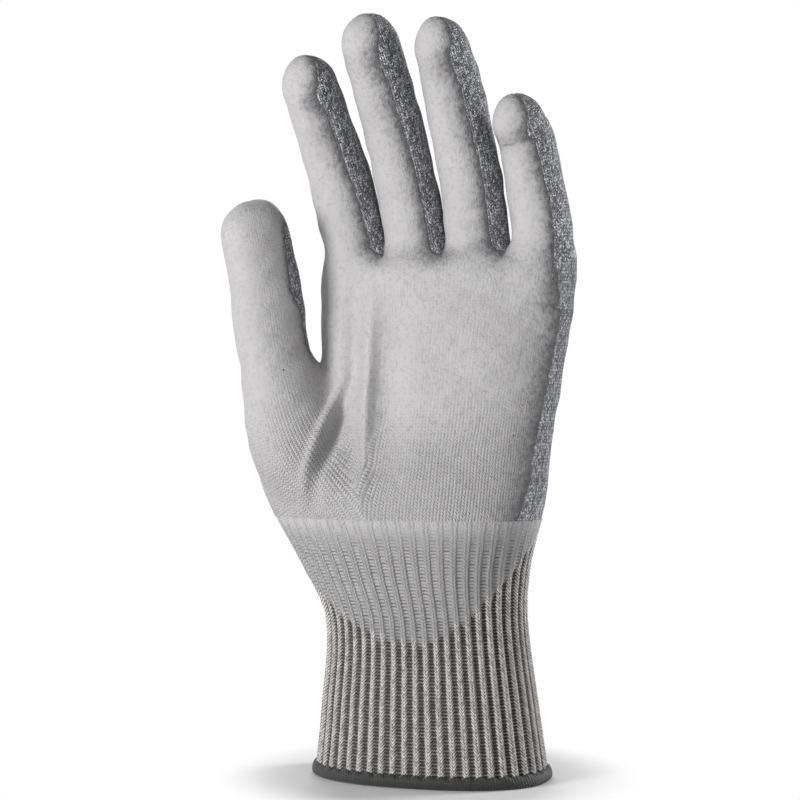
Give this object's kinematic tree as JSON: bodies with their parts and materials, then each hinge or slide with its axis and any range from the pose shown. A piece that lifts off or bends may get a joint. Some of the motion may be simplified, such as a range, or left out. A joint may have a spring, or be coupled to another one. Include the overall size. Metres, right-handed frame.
{
  "type": "cut resistant glove",
  "caption": "Knitted cut resistant work glove for the left hand with a light grey coated palm and fingers, a ribbed cuff and a dark overlocked hem; thumb, fingers and wrist bend.",
  "frame": {"origin": "centre of the cuff mouth, in the plane of the hem", "axes": "+Z from the cuff mouth to the fingertips, palm facing -Y, thumb at -X"},
  "size_m": [0.1054, 0.0573, 0.2449],
  "materials": {
    "liner_knit": "salt-and-pepper 13-gauge plain knit of light and dark grey cut resistant yarn",
    "pu_coating": "thin matte light grey polyurethane film with the knit showing faintly through it",
    "rib_knit": "heather rib knit, light ribs with dark grooves between them",
    "hem_thread": "dense dark grey overlock thread",
    "elastic_yarn": "dark covered elastic yarn"
  },
  "bodies": {
    "cuff": {"hem_overlock": "hem_thread", "cuff_rib": "rib_knit", "cuff_elastic_yarn": "elastic_yarn"},
    "wrist": {"wrist_rib": "rib_knit", "wrist_coating": "pu_coating"},
    "hand": {"heel_rib": "rib_knit", "hand_liner": "liner_knit", "palm_coating": "pu_coating", "heel_coating": "pu_coating"},
    "index_proximal": {"index_proximal_liner": "liner_knit", "index_proximal_coating": "pu_coating"},
    "index_middle": {"index_middle_liner": "liner_knit", "index_middle_coating": "pu_coating"},
    "index_tip": {"index_tip_liner": "liner_knit", "index_tip_coating": "pu_coating"},
    "middle_proximal": {"middle_proximal_liner": "liner_knit", "middle_proximal_coating": "pu_coating"},
    "middle_middle": {"middle_middle_liner": "liner_knit", "middle_middle_coating": "pu_coating"},
    "middle_tip": {"middle_tip_liner": "liner_knit", "middle_tip_coating": "pu_coating"},
    "ring_proximal": {"ring_proximal_liner": "liner_knit", "ring_proximal_coating": "pu_coating"},
    "ring_middle": {"ring_middle_liner": "liner_knit", "ring_middle_coating": "pu_coating"},
    "ring_tip": {"ring_tip_liner": "liner_knit", "ring_tip_coating": "pu_coating"},
    "little_proximal": {"little_proximal_liner": "liner_knit", "little_proximal_coating": "pu_coating"},
    "little_middle": {"little_middle_liner": "liner_knit", "little_middle_coating": "pu_coating"},
    "little_tip": {"little_tip_liner": "liner_knit", "little_tip_coating": "pu_coating"},
    "thumb_proximal": {"thumb_proximal_liner": "liner_knit", "thumb_proximal_coating": "pu_coating"},
    "thumb_tip": {"thumb_tip_liner": "liner_knit", "thumb_tip_coating": "pu_coating"}
  },
  "joints": [
    {"name": "wrist_extend", "type": "hinge", "parent": "cuff", "child": "wrist", "pos_m": [0, 0.02235, 0.038], "axis": [1, 0, 0], "range_deg": [-45, 0]},
    {"name": "wrist_flex", "type": "hinge", "parent": "wrist", "child": "hand", "pos_m": [0, -0.0221, 0.066], "axis": [1, 0, 0], "range_deg": [0, 50]},
    {"name": "index_base_bend", "type": "hinge", "parent": "hand", "child": "index_proximal", "pos_m": [-0.02436, -0.01019, 0.16965], "axis": [0.9925, 0, 0.1219], "range_deg": [-12, 80]},
    {"name": "index_middle_bend", "type": "hinge", "parent": "index_proximal", "child": "index_middle", "pos_m": [-0.02857, -0.01144, 0.19192], "axis": [0.9925, 0, 0.1219], "range_deg": [-10, 85]},
    {"name": "index_tip_bend", "type": "hinge", "parent": "index_middle", "child": "index_tip", "pos_m": [-0.03212, -0.01615, 0.2103], "axis": [0.9925, 0, 0.1219], "range_deg": [-8, 50]},
    {"name": "middle_base_bend", "type": "hinge", "parent": "hand", "child": "middle_proximal", "pos_m": [-0.00436, -0.01019, 0.17215], "axis": [0.9925, 0, 0.1219], "range_deg": [-12, 80]},
    {"name": "middle_middle_bend", "type": "hinge", "parent": "middle_proximal", "child": "middle_middle", "pos_m": [-0.00772, -0.01165, 0.19758], "axis": [0.9925, 0, 0.1219], "range_deg": [-10, 85]},
    {"name": "middle_tip_bend", "type": "hinge", "parent": "middle_middle", "child": "middle_tip", "pos_m": [-0.01056, -0.01714, 0.21901], "axis": [0.9925, 0, 0.1219], "range_deg": [-8, 50]},
    {"name": "ring_base_bend", "type": "hinge", "parent": "hand", "child": "ring_proximal", "pos_m": [0.01564, -0.01019, 0.17165], "axis": [0.9925, 0, 0.1219], "range_deg": [-12, 80]},
    {"name": "ring_middle_bend", "type": "hinge", "parent": "ring_proximal", "child": "ring_middle", "pos_m": [0.01354, -0.01158, 0.19622], "axis": [0.9925, 0, 0.1219], "range_deg": [-10, 85]},
    {"name": "ring_tip_bend", "type": "hinge", "parent": "ring_middle", "child": "ring_tip", "pos_m": [0.01174, -0.01707, 0.21775], "axis": [0.9925, 0, 0.1219], "range_deg": [-8, 50]},
    {"name": "little_base_bend", "type": "hinge", "parent": "hand", "child": "little_proximal", "pos_m": [0.03564, -0.01019, 0.16865], "axis": [0.9925, 0, 0.1219], "range_deg": [-12, 80]},
    {"name": "little_middle_bend", "type": "hinge", "parent": "little_proximal", "child": "little_middle", "pos_m": [0.03502, -0.01102, 0.18532], "axis": [0.9925, 0, 0.1219], "range_deg": [-10, 85]},
    {"name": "little_tip_bend", "type": "hinge", "parent": "little_middle", "child": "little_tip", "pos_m": [0.03458, -0.01443, 0.1992], "axis": [0.9925, 0, 0.1219], "range_deg": [-8, 50]},
    {"name": "thumb_base_bend", "type": "hinge", "parent": "hand", "child": "thumb_proximal", "pos_m": [-0.03874, -0.02116, 0.13394], "axis": [-0.766, -0.6428, 0], "range_deg": [-45, 10]},
    {"name": "thumb_tip_bend", "type": "hinge", "parent": "thumb_proximal", "child": "thumb_tip", "pos_m": [-0.04085, -0.02482, 0.15641], "axis": [-0.766, -0.6428, 0], "range_deg": [-65, 8]}
  ]
}
